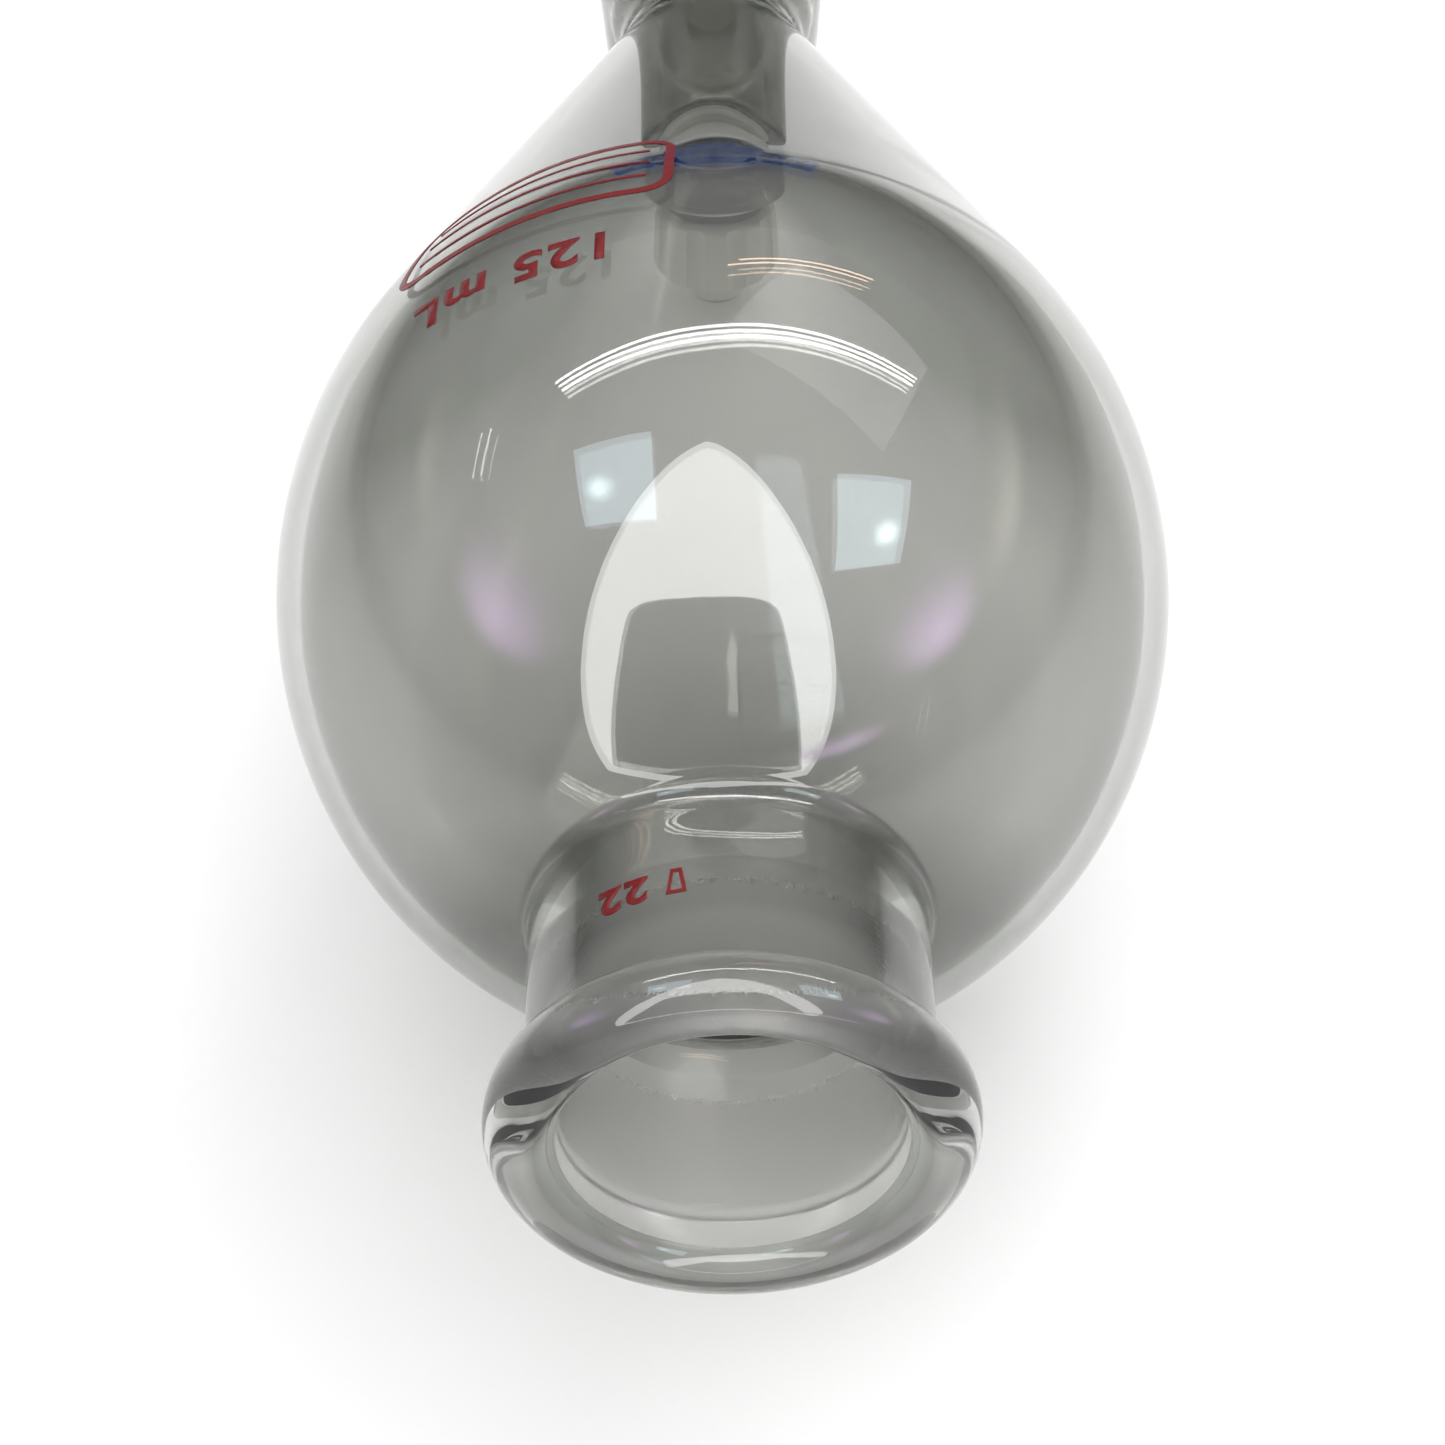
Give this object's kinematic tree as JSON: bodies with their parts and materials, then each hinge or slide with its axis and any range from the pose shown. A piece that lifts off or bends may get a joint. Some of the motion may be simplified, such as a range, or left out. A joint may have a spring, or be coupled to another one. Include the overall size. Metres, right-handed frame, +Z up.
{
  "type": "separatory funnel",
  "caption": "Pear-shaped glass separatory funnel with a beaded ground socket, a cone running into a PTFE stopcock with wing handle and tension nut, and a drip stem.",
  "frame": {"origin": "on the resting surface, under the middle of the length, with the funnel lying level on its bulb and on the tail of its stopcock plug", "axes": "+Y along the funnel's axis from the mouth to the drip tip, +Z up along the stopcock's axis, from its tension nut to its handle"},
  "size_m": [0.062, 0.2, 0.063],
  "materials": {
    "borosilicate_glass": "clear, fire polished, ground inside the neck",
    "ptfe": "waxy white, machined",
    "handle_plastic": "moulded, satin",
    "seal_rubber": "moulded, matte",
    "nut_plastic": "moulded, satin",
    "red_enamel": "fired enamel print on the glass"
  },
  "bodies": {
    "glass": {"neck_socket": "borosilicate_glass", "pear_bulb": "borosilicate_glass", "stopcock_barrel": "borosilicate_glass", "drip_stem": "borosilicate_glass"},
    "plug": {"stopcock_plug": "ptfe", "plug_handle": "handle_plastic"},
    "washers": {"ptfe_washer": "ptfe", "o_ring": "seal_rubber"},
    "nut": {"tension_nut": "nut_plastic"}
  },
  "joints": [
    {"name": "plug_turn", "type": "hinge", "parent": "glass", "child": "plug", "pos_m": [0, 0.022, 0.031], "axis": [0, 0, 1], "continuous": true},
    {"name": "washer_slide", "type": "slide", "parent": "plug", "child": "washers", "axis": [0, 0, -1], "range_m": [0, 0.003]},
    {"name": "nut_turn", "type": "hinge", "parent": "washers", "child": "nut", "pos_m": [0, 0.022, 0.0076], "axis": [0, 0, -1], "range_deg": [0, 720]}
  ],
  "couplings": [
    {"joint": "nut_turn", "follows": "washer_slide", "rad_per_m": 4188.8}
  ]
}
